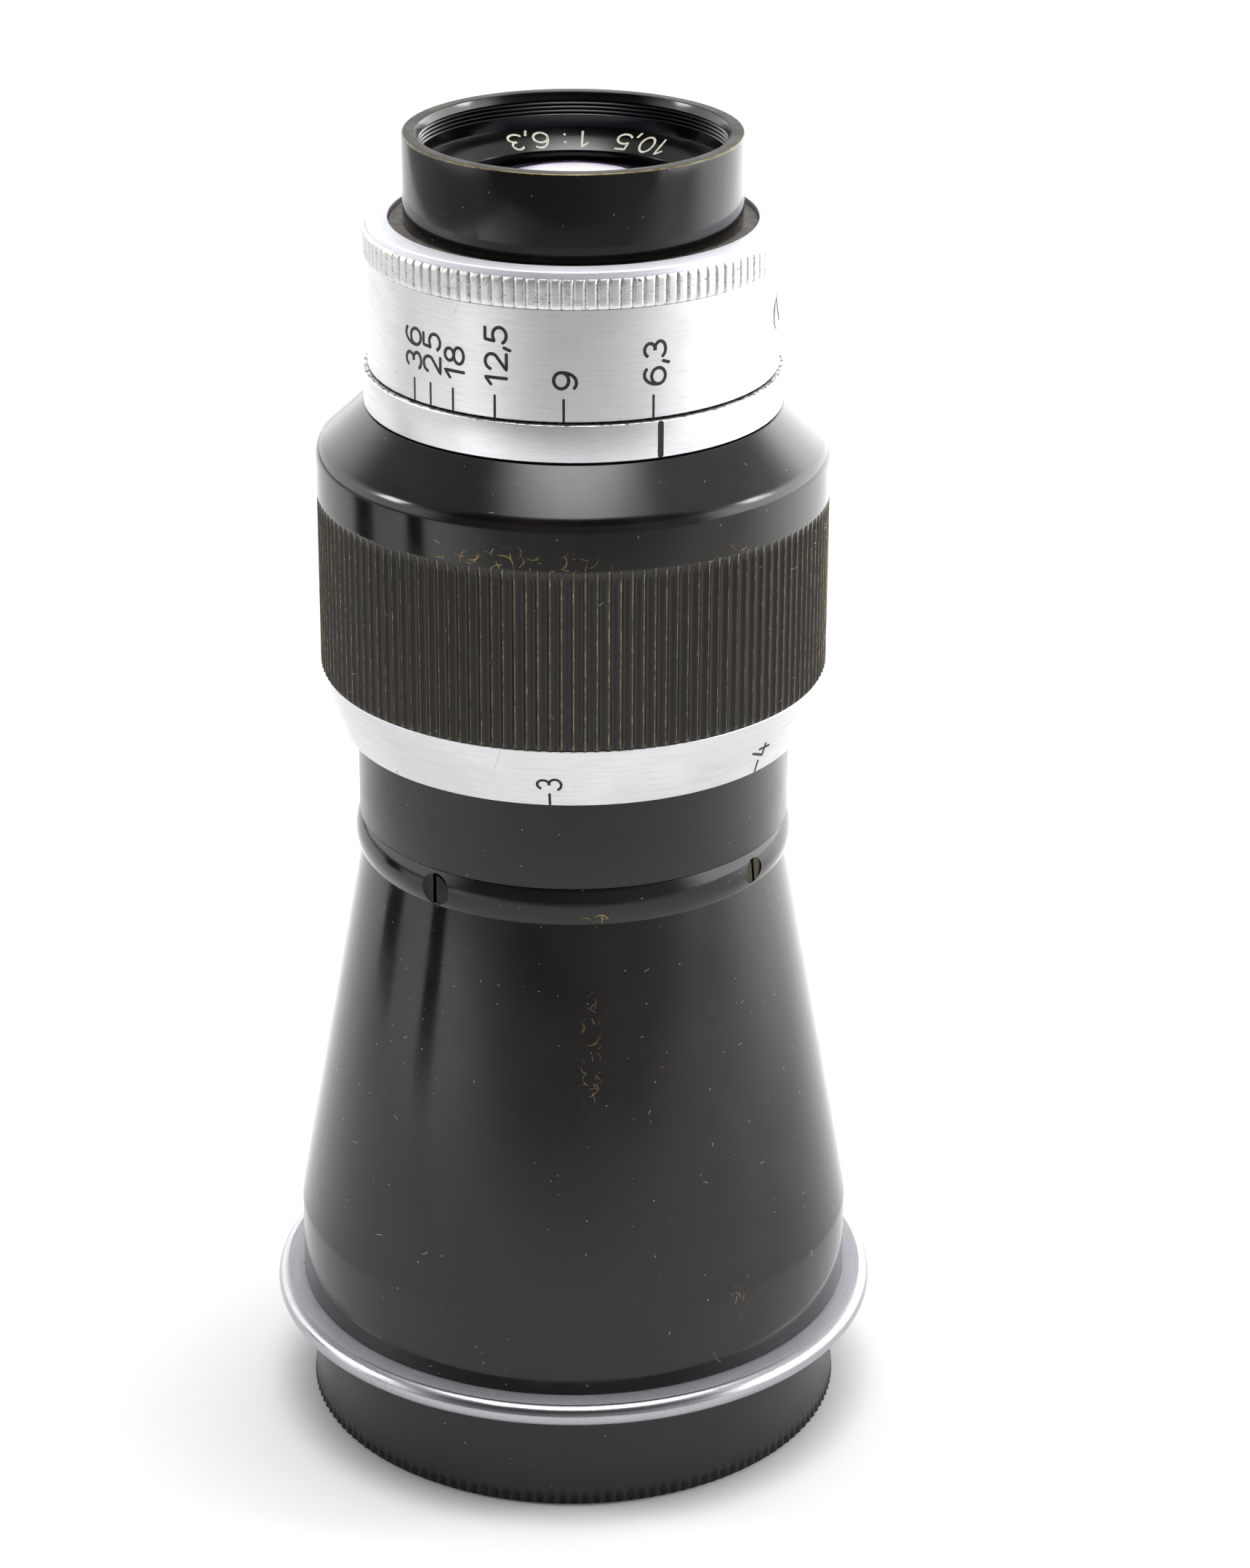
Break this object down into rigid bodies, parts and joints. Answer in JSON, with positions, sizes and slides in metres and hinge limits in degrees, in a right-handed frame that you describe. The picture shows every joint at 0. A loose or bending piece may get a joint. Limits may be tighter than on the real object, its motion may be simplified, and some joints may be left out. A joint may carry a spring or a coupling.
{
  "type": "screw-mount camera lens",
  "caption": "Compact long-focus screw-mount lens on its rear cap: fluted focusing sleeve, knurled aperture ring, tapering black tail and chrome flange.",
  "frame": {"origin": "centre of the rear cap's resting face", "axes": "+Z along the optical axis towards the front rim, -Y towards the side with the f-numbers"},
  "size_m": [0.048, 0.048, 0.104],
  "materials": {
    "black_paint": "glossy black paint over brass, worn through at edges",
    "black_satin": "satin black",
    "satin_chrome": "satin chrome, brushed around the axis",
    "chrome": "polished chrome",
    "brass": "turned brass, greased",
    "steel": "turned steel",
    "blackened_steel": "blackened steel",
    "glass": "polished optical glass"
  },
  "bodies": {
    "cap": {"rear_cap": "black_satin"},
    "mount": {"mount_flange": "chrome", "tail_cone": "black_paint", "neck_tube": "black_satin", "neck_screws": "blackened_steel", "neck_set_screws": "blackened_steel", "outer_helicoid": "brass", "cam_key_screw": "steel"},
    "cam": {"cam_tube": "brass"},
    "guide": {"guide_ring": "brass", "guide_screw": "steel"},
    "head": {"inner_helicoid": "brass", "guide_lock_ring": "brass", "distance_ring": "satin_chrome", "focus_sleeve": "black_paint", "index_ring": "satin_chrome", "head_barrel": "black_satin", "baffle_ring": "black_satin", "front_cell": "black_paint", "name_ring": "black_paint", "front_element": "glass", "second_element": "glass", "second_retainer": "black_satin", "rear_cell": "black_satin", "doublet_front": "glass", "doublet_rear": "glass", "rear_retainer": "black_satin", "iris_base": "black_satin"},
    "aperture": {"aperture_ring": "satin_chrome", "aperture_screws": "steel", "iris_drive_ring": "brass"},
    "blade_0": {"iris_blade_0": "blackened_steel"},
    "blade_1": {"iris_blade_1": "blackened_steel"},
    "blade_2": {"iris_blade_2": "blackened_steel"},
    "blade_3": {"iris_blade_3": "blackened_steel"},
    "blade_4": {"iris_blade_4": "blackened_steel"},
    "blade_5": {"iris_blade_5": "blackened_steel"},
    "blade_6": {"iris_blade_6": "blackened_steel"},
    "blade_7": {"iris_blade_7": "blackened_steel"},
    "blade_8": {"iris_blade_8": "blackened_steel"},
    "blade_9": {"iris_blade_9": "blackened_steel"}
  },
  "joints": [
    {"name": "lens_lift", "type": "slide", "parent": "cap", "child": "mount", "axis": [0, 0, 1], "range_m": [0, 0.02]},
    {"name": "focus_travel", "type": "slide", "parent": "mount", "child": "guide", "axis": [0, 0, 1], "range_m": [-0.00223, 0.00332]},
    {"name": "focus_turn", "type": "hinge", "parent": "guide", "child": "head", "pos_m": [0, 0, 0.07], "axis": [0, 0, 1], "range_deg": [-117.85, 176.05]},
    {"name": "cam_travel", "type": "slide", "parent": "mount", "child": "cam", "axis": [0, 0, 1], "range_m": [-0.00054, 0.0008]},
    {"name": "aperture_turn", "type": "hinge", "parent": "head", "child": "aperture", "pos_m": [0, 0, 0.0913], "axis": [0, 0, 1], "range_deg": [0, 72.1]},
    {"name": "blade_pivot_0", "type": "hinge", "parent": "head", "child": "blade_0", "pos_m": [0.01015, 0.00369, 0.0885], "axis": [0, 0, 1], "range_deg": [-0.05, 32.55]},
    {"name": "blade_pivot_1", "type": "hinge", "parent": "head", "child": "blade_1", "pos_m": [0.00604, 0.00895, 0.0885], "axis": [0, 0, 1], "range_deg": [-0.05, 32.55]},
    {"name": "blade_pivot_2", "type": "hinge", "parent": "head", "child": "blade_2", "pos_m": [-0.00038, 0.01079, 0.0885], "axis": [0, 0, 1], "range_deg": [-0.05, 32.55]},
    {"name": "blade_pivot_3", "type": "hinge", "parent": "head", "child": "blade_3", "pos_m": [-0.00665, 0.00851, 0.0885], "axis": [0, 0, 1], "range_deg": [-0.05, 32.55]},
    {"name": "blade_pivot_4", "type": "hinge", "parent": "head", "child": "blade_4", "pos_m": [-0.01038, 0.00298, 0.0885], "axis": [0, 0, 1], "range_deg": [-0.05, 32.55]},
    {"name": "blade_pivot_5", "type": "hinge", "parent": "head", "child": "blade_5", "pos_m": [-0.01015, -0.00369, 0.0885], "axis": [0, 0, 1], "range_deg": [-0.05, 32.55]},
    {"name": "blade_pivot_6", "type": "hinge", "parent": "head", "child": "blade_6", "pos_m": [-0.00604, -0.00895, 0.0885], "axis": [0, 0, 1], "range_deg": [-0.05, 32.55]},
    {"name": "blade_pivot_7", "type": "hinge", "parent": "head", "child": "blade_7", "pos_m": [0.00038, -0.01079, 0.0885], "axis": [0, 0, 1], "range_deg": [-0.05, 32.55]},
    {"name": "blade_pivot_8", "type": "hinge", "parent": "head", "child": "blade_8", "pos_m": [0.00665, -0.00851, 0.0885], "axis": [0, 0, 1], "range_deg": [-0.05, 32.55]},
    {"name": "blade_pivot_9", "type": "hinge", "parent": "head", "child": "blade_9", "pos_m": [0.01038, -0.00298, 0.0885], "axis": [0, 0, 1], "range_deg": [-0.05, 32.55]}
  ],
  "couplings": [
    {"joint": "focus_turn", "follows": "focus_travel", "rad_per_m": 924},
    {"joint": "cam_travel", "follows": "focus_travel", "ratio": 0.2415},
    {"joint": "blade_pivot_0", "follows": "aperture_turn", "ratio": 0.45076},
    {"joint": "blade_pivot_1", "follows": "aperture_turn", "ratio": 0.45076},
    {"joint": "blade_pivot_2", "follows": "aperture_turn", "ratio": 0.45076},
    {"joint": "blade_pivot_3", "follows": "aperture_turn", "ratio": 0.45076},
    {"joint": "blade_pivot_4", "follows": "aperture_turn", "ratio": 0.45076},
    {"joint": "blade_pivot_5", "follows": "aperture_turn", "ratio": 0.45076},
    {"joint": "blade_pivot_6", "follows": "aperture_turn", "ratio": 0.45076},
    {"joint": "blade_pivot_7", "follows": "aperture_turn", "ratio": 0.45076},
    {"joint": "blade_pivot_8", "follows": "aperture_turn", "ratio": 0.45076},
    {"joint": "blade_pivot_9", "follows": "aperture_turn", "ratio": 0.45076}
  ]
}
